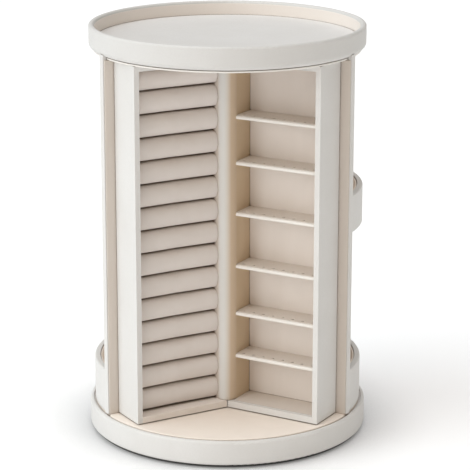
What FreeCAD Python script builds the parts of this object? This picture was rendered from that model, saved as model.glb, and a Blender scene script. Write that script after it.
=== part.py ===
import FreeCAD, Part
import math
import os

from FreeCAD import Vector

# Rotating jewelry organizer: a leather-wrapped drum that turns on a ball bearing.
# Millimetres, +Z up, origin on the table under the turning axis, front towards -Y.
# Three boards stand on the base in a Y. The front sector holds a box of ring rolls
# and a box of earring shelves, the two rear sectors hold pull-out trays.

# Turntable foot
PAD_COUNT = 4
PAD_RADIUS = 7.0
PAD_HEIGHT = 0.8
PAD_EDGE_DISTANCE = 11.0  # rim of the foot plate to the centre of a pad
FOOT_PLATE = 1.2
FOOT_INSET = 2.6  # rim of the foot plate inside the edge of the base
FOOT_GAP = 0.5  # between the foot plate and the turning base
HUB_THICKNESS = 2.8
HUB_MARGIN = 12.0  # foot hub outside the bearing race
HUB_CLEARANCE = 3.0  # around the foot hub in the base

# Ball bearing
BALL_COUNT = 16
BALL_RADIUS = 2.5
BALL_CIRCLE = 45.0
BALL_FIT = 0.1
RACE_THICKNESS = 2.5
RACE_INNER_MARGIN = 7.0  # race inside the ball circle
RACE_OUTER_MARGIN = 13.0  # race outside the ball circle
GROOVE_DEPTH = 1.5
CAGE_THICKNESS = 1.2
CAGE_WIDTH = 9.0
CAGE_FIT = 0.15
RACE_SCREW_COUNT = 4
RACE_SCREW_RADIUS = 1.4
RACE_SCREW_HEAD_RADIUS = 2.6
RACE_SCREW_HEAD_HEIGHT = 1.3
RACE_SCREW_EDGE = 4.5  # rim of the race to the centre of a screw
RACE_SCREW_BITE = 6.0  # screw length in the wood of the base
RACE_SCREW_COVER = 1.0  # foot plate left under a screw tip
SCREW_FIT = 0.05

# Pivot
PIN_RADIUS = 4.0
PIN_FIT = 0.05
PIN_HEAD_RADIUS = 7.0
PIN_HEAD_HEIGHT = 0.8
PIN_TIP = 1.0  # pin above its clip
PIN_COVER = 0.5  # air between the pin and the floor lining
BUSH_WALL = 2.5
CLIP_THICKNESS = 1.0
CLIP_WIDTH = 3.5
CLIP_GROOVE = 0.8
CLIP_MOUTH = 5.0
CLIP_GAP = 0.3  # clip above the bush
CLIP_POCKET_CLEARANCE = 2.5

# Base disc
BASE_RADIUS = 105.0
BASE_CORE = 10.2  # wood above the bearing
BASE_RIM = 2.5  # leather rim around the floor lining
BASE_ROUND = 2.2
FLOOR_LINING = 2.0
LINING_PROUD = 0.9  # floor lining above the leather rim
LINING_FIT = 0.15

# Y-shaped partition
WALL_THICKNESS = 5.2
WALL_LINING = 1.0
WALL_HEIGHT = 268.0
WALL_INSET = 0.35  # wall end inside the edge of the floor lining
WALL_ROUND = 1.5
LINING_SETBACK = 0.8  # leather showing at the end of a wall
PANEL_SCREW_RADIUS = 1.75
PANEL_SCREW_HEAD_RADIUS = 3.3
PANEL_SCREW_HEAD_HEIGHT = 1.7
PANEL_SCREW_BITE = 16.0  # screw length in a wall
PANEL_SCREW_OUTER = 8.0  # outer screws outside the bearing race
PANEL_SCREW_INNER = 14.0  # inner screws inside the bearing race

# Ring box and earring box
BOX_DEPTH = 31.0
BOX_WIDTH = 75.9
BOX_SIDE = 4.0
BOX_INNER_SIDE = 3.0
BOX_BOTTOM = 5.5
BOX_TOP = 4.0
BOX_ROUND = 0.9
RING_BOX_BACK = 2.5
EARRING_BOX_BACK = 3.5
POST_SETBACK = 0.6  # nose of the corner post behind the box fronts
POST_KEY_DEPTH = 8.0
POST_FIT = 0.1

# Ring rolls
ROLL_COUNT = 15
ROLL_GAP = 0.2
ROLL_END_GAP = 0.2
ROLL_RECESS = 7.2  # crest of a roll behind the box front
ROLL_RELIEF = 6.3  # crest above the line where two rolls meet
ROLL_END_DRAW = 0.7  # roll section drawn in at its ends
ROLL_END_LENGTH = 2.5

# Earring shelves
SHELF_HEIGHTS = (35.6, 68.8, 105.4, 145.5, 184.0, 218.4)  # box floor to the top of each shelf
SHELF_THICKNESS = 2.6
SHELF_RECESS = 6.3  # shelf edge behind the box front
SHELF_ROUND = 1.1
SHELF_LINING = 0.5
SHELF_LINING_SETBACK = 1.4
HOLE_COUNT = 8
HOLE_RADIUS = 1.1
HOLE_SETBACK = 4.0  # shelf edge to the row of holes
HOLE_END_MARGIN = 5.5  # shelf end to the first hole

# Top board and tray
TOP_BOARD = 2.0
BOARD_INSET = 3.2  # edge of the top board inside the wall ends
TRAY_RADIUS = 102.0
TRAY_HEIGHT = 17.2
TRAY_RIM = 4.2
TRAY_DEPTH = 10.6  # rim down to the tray floor
TRAY_LIP_WIDTH = 4.0
TRAY_LIP_HEIGHT = 3.0
TRAY_ROUND = 1.8
TRAY_FOOT_ROUND = 4.0
TRAY_FIT = 0.15

# Pull-out trays of the rear sectors
DRAWER_HEIGHT = 32.6
MID_DRAWER_HEIGHT = 28.1
DRAWER_INSET = 0.9  # drawer front inside the wall ends
DRAWER_FRONT = 4.0
DRAWER_SIDE = 3.0
DRAWER_FLOOR = 5.0
DRAWER_TIP = 26.0  # turning axis to the back of a drawer
DRAWER_CLEARANCE = 0.5
DRAWER_LIFT = 0.4
DRAWER_ROUND = 1.4
DRAWER_TRAVEL = 55.0
LINER_WALL = 1.2
LINER_FIT = 0.4
LINER_DROP = 0.7  # liner edge below the drawer rim
RUNNER_WIDTH = 12.0
RUNNER_HEIGHT = 2.2
RUNNER_FIT = 0.3
RUNNER_START = 34.0
RUNNER_HOLD = 9.0  # runner left under a drawer that is pulled right out
MID_SHELF_HEIGHT = 138.8  # floor to the underside of the middle shelf
MID_SHELF = 4.0

# Necklace hooks
RAIL_START = 22.0
RAIL_LENGTH = 70.0
RAIL_HEIGHT = 9.0
RAIL_DEPTH = 5.0
RAIL_DROP = 22.0  # wall top to the top of the rail
RAIL_ROUND = 1.2
HOOK_COUNT = 6
HOOK_RADIUS = 1.3
HOOK_TIP_RADIUS = 2.6
HOOK_REACH = 16.0
HOOK_SEAT = 3.0
HOOK_FIT = 0.05
HOOK_END_MARGIN = 6.0

# The sectors are equal, and a box front stands parallel to its wall
HALF_SECTOR = math.radians(60.0)
WALL_TURN = 210.0  # left wall, from +X
SIN_HALF = math.sin(HALF_SECTOR)
COS_HALF = math.cos(HALF_SECTOR)
LEFT_SECTOR_TURN = 150.0
RIGHT_SECTOR_TURN = 30.0
UP = Vector(0, 0, 1)
OVERSHOOT = 1.0  # cutting tools reach past the faces they cut

# Heights worked out from the stack
foot_bottom = PAD_HEIGHT
plate_top = foot_bottom + FOOT_PLATE
base_bottom = plate_top + FOOT_GAP
foot_top = plate_top + HUB_THICKNESS
lower_race_top = foot_top + RACE_THICKNESS
ball_height = lower_race_top + BALL_RADIUS - GROOVE_DEPTH
upper_race_bottom = ball_height + BALL_RADIUS - GROOVE_DEPTH
recess_top = upper_race_bottom + RACE_THICKNESS
floor_top = recess_top + BASE_CORE
floor_lining_bottom = floor_top - FLOOR_LINING
rim_top = floor_top - LINING_PROUD
pin_top = floor_lining_bottom - PIN_COVER
clip_bottom = pin_top - PIN_TIP - CLIP_THICKNESS
bush_top = clip_bottom - CLIP_GAP
wall_top = floor_top + WALL_HEIGHT
tray_bottom = wall_top + TOP_BOARD
tray_top = tray_bottom + TRAY_HEIGHT
tray_floor_top = tray_top - TRAY_DEPTH

# Plan sizes worked out from the stack
race_inner = BALL_CIRCLE - RACE_INNER_MARGIN
race_outer = BALL_CIRCLE + RACE_OUTER_MARGIN
plate_radius = BASE_RADIUS - FOOT_INSET
hub_radius = race_outer + HUB_MARGIN
recess_radius = hub_radius + HUB_CLEARANCE
inlay_radius = BASE_RADIUS - BASE_RIM
wall_reach = inlay_radius - LINING_FIT - WALL_INSET
wall_back = WALL_LINING + WALL_THICKNESS
wall_rear_face = wall_back + WALL_LINING
rear_wall_face = WALL_THICKNESS / 2 + WALL_LINING
box_start = BOX_DEPTH * COS_HALF / SIN_HALF
box_end = box_start + BOX_WIDTH
box_inside_start = box_start + BOX_INNER_SIDE
box_inside_end = box_end - BOX_SIDE
box_inside_bottom = floor_top + BOX_BOTTOM
box_inside_top = wall_top - BOX_TOP
drawer_reach = wall_reach - DRAWER_INSET
board_radius = wall_reach - BOARD_INSET
runner_end = DRAWER_TIP + DRAWER_TRAVEL + RUNNER_HOLD


def block(x0, x1, y0, y1, z0, z1):
    """A box between two corners."""
    return Part.makeBox(x1 - x0, y1 - y0, z1 - z0, Vector(x0, y0, z0))


def disc(radius, z0, z1, x=0.0, y=0.0):
    """An upright cylinder."""
    return Part.makeCylinder(radius, z1 - z0, Vector(x, y, z0))


def ring(outer, inner, z0, z1):
    """An upright ring about the turning axis."""
    return disc(outer, z0, z1).cut(disc(inner, z0 - OVERSHOOT, z1 + OVERSHOOT))


def polar(radius, degrees):
    """Plan position at a radius and an angle."""
    return radius * math.cos(math.radians(degrees)), radius * math.sin(math.radians(degrees))


def turned(shape, degrees):
    """A copy turned about the vertical axis."""
    copy = shape.copy()
    copy.rotate(Vector(0, 0, 0), UP, degrees)
    return copy


def mirrored(shape):
    """The same piece on the other side of the front-to-rear plane."""
    return shape.mirror(Vector(0, 0, 0), Vector(1, 0, 0))


def on_left_wall(shape):
    """Move a piece drawn along X, out from the axis, and Y, off the wall, to the left wall."""
    return turned(shape, WALL_TURN)


def on_right_wall(shape):
    """The same for the right wall, as a mirror image."""
    return mirrored(on_left_wall(shape))


def rounded(shape, radius, wanted):
    """Round every edge that the test picks."""
    edges = [edge for edge in shape.Edges if wanted(edge)]
    return shape.makeFillet(radius, edges)


def is_upright(edge):
    """True for a straight vertical edge."""
    first, last = edge.Vertexes[0].Point, edge.Vertexes[-1].Point
    return math.hypot(first.x - last.x, first.y - last.y) < 1e-6 < abs(first.z - last.z)


def is_circle(edge, radius, height):
    """True for a level round edge of this radius at this height."""
    if not isinstance(edge.Curve, Part.Circle):
        return False
    return abs(edge.Curve.Radius - radius) < 1e-6 and abs(edge.CenterOfMass.z - height) < 1e-6


def screw(radius, head_radius, head_height, length):
    """A countersunk screw that hangs from z = 0, head up."""
    head = Part.makeCone(radius, head_radius, head_height, Vector(0, 0, -head_height))
    shank = Part.makeCylinder(radius, length, Vector(0, 0, -length))
    return head.fuse(shank).removeSplitter()


def race_screw(length, grow=0.0):
    """A screw of the bearing races, or with grow the hole for it."""
    return screw(RACE_SCREW_RADIUS + grow, RACE_SCREW_HEAD_RADIUS + grow,
                 RACE_SCREW_HEAD_HEIGHT, length + grow)


def panel_screw(through, grow=0.0):
    """A screw through a board into a wall, or with grow the hole for it."""
    return screw(PANEL_SCREW_RADIUS + grow, PANEL_SCREW_HEAD_RADIUS + grow,
                 PANEL_SCREW_HEAD_HEIGHT, through + PANEL_SCREW_BITE + grow)


def upended(shape):
    """A copy turned head down."""
    copy = shape.copy()
    copy.rotate(Vector(0, 0, 0), Vector(1, 0, 0), 180)
    return copy


def placed(shape, x, y, z):
    """A copy moved to a place."""
    copy = shape.copy()
    copy.translate(Vector(x, y, z))
    return copy


def around(shape, count, radius, z, start=0.0):
    """Copies spaced evenly on a circle."""
    spots = [polar(radius, start + 360.0 * index / count) for index in range(count)]
    return [placed(shape, x, y, z) for x, y in spots]


def without(shape, tools):
    """Cut several tools from a shape."""
    return shape.cut(Part.makeCompound(tools)) if tools else shape


def save(name, shape):
    """Write one node, as one solid or as a group of solids."""
    shapes = shape if isinstance(shape, list) else [shape]
    solids = [solid for item in shapes for solid in item.Solids]
    whole = solids[0] if len(solids) == 1 else Part.makeCompound(solids)
    whole.exportStep("parts/" + name + ".step")


# Foot and bearing

def race_screw_spots(shape, z):
    """The race screws, or their holes, on their circle."""
    return around(shape, RACE_SCREW_COUNT, race_outer - RACE_SCREW_EDGE, z, 180.0 / RACE_SCREW_COUNT)


def race(z0, z1):
    """A bearing race with its ball groove."""
    groove = Part.makeTorus(BALL_CIRCLE, BALL_RADIUS + BALL_FIT, Vector(0, 0, ball_height))
    return ring(race_outer, race_inner, z0, z1).cut(groove)


def build_foot():
    """The still part: foot plate and hub, pads, lower race and pivot pin."""
    lower_length = lower_race_top - foot_bottom - RACE_SCREW_COVER
    holes = race_screw_spots(race_screw(lower_length, SCREW_FIT), lower_race_top)
    plate = ring(plate_radius, PIN_RADIUS + PIN_FIT, foot_bottom, plate_top)
    plate = plate.cut(disc(PIN_HEAD_RADIUS + PIN_FIT, foot_bottom - OVERSHOOT, foot_bottom + PIN_HEAD_HEIGHT))
    save("foot_plate", without(plate, holes))
    save("foot_hub", without(ring(hub_radius, PIN_RADIUS + PIN_FIT, plate_top, foot_top), holes))
    pad = disc(PAD_RADIUS, 0, PAD_HEIGHT)
    save("foot_pads", around(pad, PAD_COUNT, plate_radius - PAD_EDGE_DISTANCE, 0))
    save("bearing_lower_race", without(race(foot_top, lower_race_top), holes))
    save("lower_race_screws", race_screw_spots(race_screw(lower_length), lower_race_top))
    groove_floor = PIN_RADIUS - CLIP_GROOVE
    clip_top = clip_bottom + CLIP_THICKNESS
    pin = disc(PIN_HEAD_RADIUS, foot_bottom, foot_bottom + PIN_HEAD_HEIGHT)
    pin = pin.fuse(disc(PIN_RADIUS, foot_bottom, pin_top)).removeSplitter()
    save("pivot_pin", pin.cut(ring(PIN_RADIUS + OVERSHOOT, groove_floor, clip_bottom, clip_top)))
    clip = ring(groove_floor + CLIP_WIDTH, groove_floor + PIN_FIT, clip_bottom, clip_top)
    mouth = block(0, groove_floor + CLIP_WIDTH + OVERSHOOT, -CLIP_MOUTH / 2, CLIP_MOUTH / 2,
                  clip_bottom - OVERSHOOT, clip_top + OVERSHOOT)
    save("pivot_clip", clip.cut(mouth))


def build_ball_ring():
    """The balls and the cage that spaces them."""
    ball = Part.makeSphere(BALL_RADIUS)
    hole = Part.makeCylinder(BALL_RADIUS + CAGE_FIT, CAGE_THICKNESS + 2 * OVERSHOOT,
                             Vector(0, 0, -CAGE_THICKNESS / 2 - OVERSHOOT))
    cage = ring(BALL_CIRCLE + CAGE_WIDTH / 2, BALL_CIRCLE - CAGE_WIDTH / 2,
                ball_height - CAGE_THICKNESS / 2, ball_height + CAGE_THICKNESS / 2)
    save("ball_cage", without(cage, around(hole, BALL_COUNT, BALL_CIRCLE, ball_height)))
    save("bearing_balls", around(ball, BALL_COUNT, BALL_CIRCLE, ball_height))


# Base, walls and their linings

def wall_screw_spots(shape, z):
    """Screws, or holes, at two places along each of the three walls."""
    spots = []
    for along in (race_outer + PANEL_SCREW_OUTER, race_inner - PANEL_SCREW_INNER):
        side = placed(shape, along, -(WALL_LINING + WALL_THICKNESS / 2), z)
        spots += [on_left_wall(side), on_right_wall(side), placed(shape, 0, along, z)]
    return spots


def lower_panel_screws(grow=0.0):
    """Screws up through the base into the walls."""
    return wall_screw_spots(upended(panel_screw(BASE_CORE, grow)), recess_top)


def upper_panel_screws(grow=0.0):
    """Screws down through the top board into the walls."""
    return wall_screw_spots(panel_screw(TOP_BOARD, grow), tray_bottom)


def build_base():
    """The turning base with the upper race, the bush and the floor lining."""
    upper_length = RACE_THICKNESS + RACE_SCREW_BITE
    race_holes = race_screw_spots(upended(race_screw(upper_length, SCREW_FIT)), upper_race_bottom)
    base = disc(BASE_RADIUS, base_bottom, rim_top)
    base = rounded(base, BASE_ROUND, lambda edge: isinstance(edge.Curve, Part.Circle))
    base = base.cut(disc(recess_radius, base_bottom - OVERSHOOT, recess_top))
    base = base.cut(disc(inlay_radius, floor_lining_bottom, floor_top + OVERSHOOT))
    base = base.cut(disc(PIN_RADIUS + PIN_FIT + BUSH_WALL, recess_top - OVERSHOOT, floor_top))
    base = base.cut(disc(PIN_RADIUS + CLIP_WIDTH + CLIP_POCKET_CLEARANCE, bush_top, floor_top))
    panel_holes = lower_panel_screws(SCREW_FIT)
    save("base_disc", without(base, race_holes + panel_holes))
    save("bearing_upper_race", without(race(upper_race_bottom, recess_top), race_holes))
    save("upper_race_screws", race_screw_spots(upended(race_screw(upper_length)), upper_race_bottom))
    save("pivot_bush", ring(PIN_RADIUS + PIN_FIT + BUSH_WALL, PIN_RADIUS + PIN_FIT, recess_top, bush_top))
    lining = disc(inlay_radius - LINING_FIT, floor_lining_bottom, floor_top)
    save("floor_lining", without(lining, panel_holes))


def wall_strip(y0, y1, reach):
    """A strip along the left wall, mitred on the front-to-rear plane."""
    far = 2 * wall_reach
    strip = on_left_wall(block(-far, far, y0, y1, floor_top, wall_top))
    strip = strip.cut(block(0, far, -far, far, floor_top - OVERSHOOT, wall_top + OVERSHOOT))
    return strip.common(disc(reach, floor_top, wall_top))


def rear_strip(x0, x1, reach):
    """A strip along the rear wall, from inside the mitre outwards."""
    strip = block(x0, x1, WALL_LINING / SIN_HALF, 2 * wall_reach, floor_top, wall_top)
    return strip.common(disc(reach, floor_top, wall_top))


def round_wall_end(wall):
    """Round the two upright edges at the outer end of a wall."""
    outer = wall_reach - WALL_THICKNESS / 2
    return rounded(wall, WALL_ROUND, lambda edge: is_upright(edge) and
                   math.hypot(edge.CenterOfMass.x, edge.CenterOfMass.y) > outer)


def build_walls():
    """The three boards of the partition, their linings and the screws that hold them."""
    left = wall_strip(-wall_back, -WALL_LINING, wall_reach)
    right = mirrored(left)
    rear = rear_strip(-WALL_THICKNESS / 2, WALL_THICKNESS / 2, wall_reach).cut(left).cut(right)
    holes = lower_panel_screws(SCREW_FIT) + upper_panel_screws(SCREW_FIT)
    save("left_wall", without(round_wall_end(left), holes))
    save("right_wall", without(round_wall_end(right), holes))
    save("rear_wall", without(round_wall_end(rear), holes))
    reach = wall_reach - LINING_SETBACK
    front = wall_strip(-WALL_LINING, 0, reach)
    save("front_wall_linings", [front, mirrored(front)])
    side = wall_strip(-wall_rear_face, -wall_back, reach).cut(rear)
    across = rear_strip(-rear_wall_face, -WALL_THICKNESS / 2, reach).cut(left)
    keep = block(-2 * wall_reach, -WALL_THICKNESS / 2, -2 * wall_reach, 2 * wall_reach, floor_top, wall_top)
    folded = side.common(keep).fuse(across).removeSplitter()
    save("rear_wall_linings", [folded, mirrored(folded)])
    save("panel_screws", lower_panel_screws() + upper_panel_screws())


# Front sector: ring box, earring box and the post between them

def box_shell():
    """The frame of a front box, drawn on the wall: two sides, a top and a bottom."""
    shell = block(box_start, box_end, 0, BOX_DEPTH, floor_top, wall_top)
    shell = rounded(shell, BOX_ROUND, lambda edge: is_upright(edge) and
                    edge.CenterOfMass.y > BOX_DEPTH / 2 and edge.CenterOfMass.x > box_end - BOX_SIDE)
    return shell.cut(block(box_inside_start, box_inside_end, -OVERSHOOT, BOX_DEPTH + OVERSHOOT,
                           box_inside_bottom, box_inside_top))


def box_back(thickness):
    """The back board inside a box."""
    return block(box_inside_start, box_inside_end, 0, thickness, box_inside_bottom, box_inside_top)


def post_sizes():
    """Nose radius of the corner post and the distance of its flat back from the axis.

    The nose is an arc that runs into the inner faces of both boxes.
    """
    nose = BOX_DEPTH / SIN_HALF - POST_SETBACK
    radius = (box_inside_start - nose * COS_HALF) / (1 - COS_HALF)
    return radius, nose - radius + radius * COS_HALF


def corner_post():
    """The rounded upholstered post where the two boxes meet, with a key between their sides."""
    radius, back = post_sizes()
    nose = disc(radius, box_inside_bottom, box_inside_top, 0, -(back - radius * COS_HALF))
    nose = nose.common(block(-radius, radius, -back - radius, -back, box_inside_bottom, box_inside_top))
    inner_side = box_start - POST_FIT
    front_half = (inner_side - back * COS_HALF) / SIN_HALF
    rear = back - POST_KEY_DEPTH
    rear_half = (inner_side - rear * COS_HALF) / SIN_HALF
    corners = [(-front_half, -back), (front_half, -back), (rear_half, -rear), (-rear_half, -rear)]
    outline = Part.makePolygon([Vector(x, y, box_inside_bottom) for x, y in corners + corners[:1]])
    key = Part.Face(outline).extrude(Vector(0, 0, box_inside_top - box_inside_bottom))
    return nose.fuse(key).removeSplitter()


def post_room():
    """The room in front of the post's flat back, taken out of the box sides."""
    radius, back = post_sizes()
    return block(-2 * radius, 2 * radius, -2 * back, -back, box_inside_bottom, box_inside_top)


def roll_outline(along, draw):
    """Section of a ring roll: flat behind, crowned in front, drawn in all round by draw."""
    height = (box_inside_top - box_inside_bottom) / ROLL_COUNT - ROLL_GAP
    crest = BOX_DEPTH - ROLL_RECESS
    shoulder = crest - ROLL_RELIEF
    low = box_inside_bottom + ROLL_GAP / 2
    low_back = Vector(along, RING_BOX_BACK, low + draw)
    low_front = Vector(along, shoulder - draw, low + draw)
    middle = Vector(along, crest - draw, low + height / 2)
    high_front = Vector(along, shoulder - draw, low + height - draw)
    high_back = Vector(along, RING_BOX_BACK, low + height - draw)
    crown = Part.Arc(low_front, middle, high_front).toShape()
    return Part.Wire([Part.makeLine(low_back, low_front), crown,
                      Part.makeLine(high_front, high_back), Part.makeLine(high_back, low_back)])


def ring_roll():
    """The lowest foam roll of the ring box, with its two ends drawn in."""
    start = box_inside_start + ROLL_END_GAP
    end = box_inside_end - ROLL_END_GAP
    sections = [roll_outline(start, ROLL_END_DRAW), roll_outline(start + ROLL_END_LENGTH, 0),
                roll_outline(end - ROLL_END_LENGTH, 0), roll_outline(end, ROLL_END_DRAW)]
    return Part.makeLoft(sections, True, True)


def build_ring_box():
    """The ring box on the left wall with its stack of foam rolls."""
    save("ring_box_shell", on_left_wall(box_shell()).cut(post_room()))
    save("ring_box_back", on_left_wall(box_back(RING_BOX_BACK)))
    roll = ring_roll()
    pitch = (box_inside_top - box_inside_bottom) / ROLL_COUNT
    for index in range(ROLL_COUNT):
        save("ring_roll_%02d" % (index + 1), on_left_wall(placed(roll, 0, 0, index * pitch)))


def shelf_holes(z0, z1):
    """The row of earring holes along the front of a shelf."""
    first = box_inside_start + HOLE_END_MARGIN
    pitch = (box_inside_end - box_inside_start - 2 * HOLE_END_MARGIN) / (HOLE_COUNT - 1)
    row = BOX_DEPTH - SHELF_RECESS - HOLE_SETBACK
    return [disc(HOLE_RADIUS, z0, z1, first + index * pitch, row) for index in range(HOLE_COUNT)]


def earring_shelf():
    """One shelf board at z = 0, with a rounded front edge."""
    front = BOX_DEPTH - SHELF_RECESS
    board = block(box_inside_start, box_inside_end, EARRING_BOX_BACK, front, -SHELF_THICKNESS, 0)
    board = rounded(board, SHELF_ROUND, lambda edge: edge.BoundBox.XLength > BOX_WIDTH / 2 and
                    edge.CenterOfMass.y > front - SHELF_ROUND)
    return without(board, shelf_holes(-SHELF_THICKNESS - OVERSHOOT, OVERSHOOT))


def shelf_lining():
    """The velvet on top of a shelf at z = 0."""
    front = BOX_DEPTH - SHELF_RECESS - SHELF_LINING_SETBACK
    sheet = block(box_inside_start, box_inside_end, EARRING_BOX_BACK, front, 0, SHELF_LINING)
    return without(sheet, shelf_holes(-OVERSHOOT, SHELF_LINING + OVERSHOOT))


def build_earring_box():
    """The earring box on the right wall with its shelves."""
    save("earring_box_shell", on_right_wall(box_shell()).cut(post_room()))
    save("earring_box_back", on_right_wall(box_back(EARRING_BOX_BACK)))
    linings = []
    for index, height in enumerate(SHELF_HEIGHTS):
        level = box_inside_bottom + height
        save("earring_shelf_%d" % (index + 1), on_right_wall(placed(earring_shelf(), 0, 0, level)))
        linings.append(on_right_wall(placed(shelf_lining(), 0, 0, level)))
    save("earring_shelf_linings", linings)
    save("corner_post", corner_post())


# Top board and tray

def build_top():
    """The board on the walls and the tray glued on it."""
    board = disc(board_radius, wall_top, tray_bottom)
    save("top_board", without(board, upper_panel_screws(SCREW_FIT)))
    rim = disc(TRAY_RADIUS, tray_bottom, tray_top)
    rim = rounded(rim, TRAY_FOOT_ROUND, lambda edge: is_circle(edge, TRAY_RADIUS, tray_bottom))
    inside = TRAY_RADIUS - TRAY_RIM
    lip_top = tray_bottom + TRAY_LIP_HEIGHT
    rim = rim.cut(disc(inside, lip_top, tray_top + OVERSHOOT))
    rim = rim.cut(disc(inside - TRAY_LIP_WIDTH, tray_bottom - OVERSHOOT, lip_top + OVERSHOOT))
    rim = rounded(rim, TRAY_ROUND, lambda edge: is_circle(edge, TRAY_RADIUS, tray_top) or
                  is_circle(edge, inside, tray_top))
    save("tray_rim", rim)
    panel = disc(inside - TRAY_FIT, lip_top, tray_floor_top)
    boss = disc(inside - TRAY_LIP_WIDTH - TRAY_FIT, tray_bottom, lip_top)
    save("tray_floor", panel.fuse(boss).removeSplitter())


# Rear sectors: pull-out trays, middle shelf and necklace hooks

def sector(reach, side_a, side_b, tip, z0, z1):
    """A pie piece about +X, its sides set in from the two sector planes and its point cut off."""
    def corner(inset, sign, out):
        along = (out - inset * SIN_HALF) / COS_HALF
        return Vector(out, sign * (along * SIN_HALF - inset * COS_HALF), z0)

    def rim_corner(inset, sign):
        along = math.sqrt(reach ** 2 - inset ** 2)
        return corner(inset, sign, along * COS_HALF + inset * SIN_HALF)

    inner_a, outer_a = corner(side_a, -1, tip), rim_corner(side_a, -1)
    inner_b, outer_b = corner(side_b, 1, tip), rim_corner(side_b, 1)
    arc = Part.Arc(outer_a, Vector(reach, 0, z0), outer_b).toShape()
    outline = Part.Wire([Part.makeLine(inner_a, outer_a), arc,
                         Part.makeLine(outer_b, inner_b), Part.makeLine(inner_b, inner_a)])
    return Part.Face(outline).extrude(Vector(0, 0, z1 - z0))


def drawer(seat, skirt, height, side_a, side_b):
    """A drawer box on its seat; the skirt is how far its front hangs below the seat."""
    front_bottom = seat - skirt + DRAWER_LIFT
    bottom = seat + DRAWER_LIFT
    top = front_bottom + height
    box = sector(drawer_reach, side_a, side_b, DRAWER_TIP, front_bottom, top)
    box = rounded(box, DRAWER_ROUND, lambda edge: is_circle(edge, drawer_reach, top))
    inner_reach = drawer_reach - DRAWER_FRONT
    box = box.cut(sector(inner_reach, side_a + DRAWER_SIDE, side_b + DRAWER_SIDE,
                         DRAWER_TIP + DRAWER_SIDE, bottom + DRAWER_FLOOR, top + OVERSHOOT))
    if skirt > 0:
        box = box.cut(disc(inner_reach, front_bottom - OVERSHOOT, bottom))
    half = RUNNER_WIDTH / 2 + RUNNER_FIT
    groove = block(0, runner_end + RUNNER_FIT, -half, half,
                   bottom - OVERSHOOT, seat + RUNNER_HEIGHT + RUNNER_FIT)
    return box.cut(groove)


def drawer_liner(seat, skirt, height, side_a, side_b):
    """The velvet cup that drops into a drawer, its edge a little below the drawer rim."""
    bottom = seat + DRAWER_LIFT + DRAWER_FLOOR
    top = seat - skirt + DRAWER_LIFT + height - LINER_DROP
    reach = drawer_reach - DRAWER_FRONT - LINER_FIT
    inset = DRAWER_SIDE + LINER_FIT
    cup = sector(reach, side_a + inset, side_b + inset, DRAWER_TIP + inset, bottom, top)
    inset += LINER_WALL
    hollow = sector(reach - LINER_WALL, side_a + inset, side_b + inset, DRAWER_TIP + inset,
                    bottom + LINER_WALL, top + OVERSHOOT)
    return cup.cut(hollow)


def runner(seat):
    """The strip that guides a drawer."""
    return block(RUNNER_START, runner_end, -RUNNER_WIDTH / 2, RUNNER_WIDTH / 2,
                 seat, seat + RUNNER_HEIGHT)


def build_rear_sectors():
    """The three drawers, the shelf of the middle one and the runners."""
    at_side_wall = wall_rear_face + DRAWER_CLEARANCE
    at_rear_wall = rear_wall_face + DRAWER_CLEARANCE
    shelf_bottom = floor_top + MID_SHELF_HEIGHT
    shelf_top = shelf_bottom + MID_SHELF
    shelf_reach = drawer_reach - DRAWER_FRONT - DRAWER_CLEARANCE
    places = [
        ("left_drawer", LEFT_SECTOR_TURN, floor_top, 0.0, DRAWER_HEIGHT, at_rear_wall, at_side_wall),
        ("right_drawer", RIGHT_SECTOR_TURN, floor_top, 0.0, DRAWER_HEIGHT, at_side_wall, at_rear_wall),
        ("middle_drawer", RIGHT_SECTOR_TURN, shelf_top, MID_SHELF, MID_DRAWER_HEIGHT, at_side_wall, at_rear_wall),
    ]
    for name, turn, *sizes in places:
        save(name + "_box", turned(drawer(*sizes), turn))
        save(name + "_liner", turned(drawer_liner(*sizes), turn))
    save("drawer_runners", [turned(runner(seat), turn) for name, turn, seat, *sizes in places])
    shelf = sector(shelf_reach, wall_rear_face, rear_wall_face, DRAWER_TIP, shelf_bottom, shelf_top)
    save("middle_shelf", turned(shelf, RIGHT_SECTOR_TURN))


def hook_peg(length):
    """A round peg with a bead on its tip, turned about the line from the origin along -X."""
    neck = length - math.sqrt(HOOK_TIP_RADIUS ** 2 - HOOK_RADIUS ** 2)
    root = Vector(0, 0, 0)
    shoulder = Vector(0, 0, HOOK_RADIUS)
    bead_start = Vector(-neck, 0, HOOK_RADIUS)
    bead_top = Vector(-length, 0, HOOK_TIP_RADIUS)
    bead_end = Vector(-length - HOOK_TIP_RADIUS, 0, 0)
    bead = Part.Arc(bead_start, bead_top, bead_end).toShape()
    outline = Part.Wire([Part.makeLine(root, shoulder), Part.makeLine(shoulder, bead_start), bead,
                         Part.makeLine(bead_end, root)])
    return Part.Face(outline).revolve(root, Vector(1, 0, 0), 360)


def build_hooks():
    """The necklace rail on the left face of the rear wall and its pegs."""
    face = -rear_wall_face
    top = wall_top - RAIL_DROP
    rail = block(face - RAIL_DEPTH, face, RAIL_START, RAIL_START + RAIL_LENGTH, top - RAIL_HEIGHT, top)
    rail = rounded(rail, RAIL_ROUND, lambda edge: edge.CenterOfMass.x < face - RAIL_DEPTH + RAIL_ROUND / 2)
    pitch = (RAIL_LENGTH - 2 * HOOK_END_MARGIN) / (HOOK_COUNT - 1)
    root = face - RAIL_DEPTH + HOOK_SEAT
    height = top - RAIL_HEIGHT / 2
    hole = Part.makeCylinder(HOOK_RADIUS + HOOK_FIT, HOOK_SEAT + OVERSHOOT, Vector(0, 0, 0), Vector(-1, 0, 0))
    peg = hook_peg(HOOK_SEAT + HOOK_REACH)
    spots = [RAIL_START + HOOK_END_MARGIN + index * pitch for index in range(HOOK_COUNT)]
    save("necklace_rail", without(rail, [placed(hole, root, along, height) for along in spots]))
    save("necklace_hooks", [placed(peg, root, along, height) for along in spots])


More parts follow.
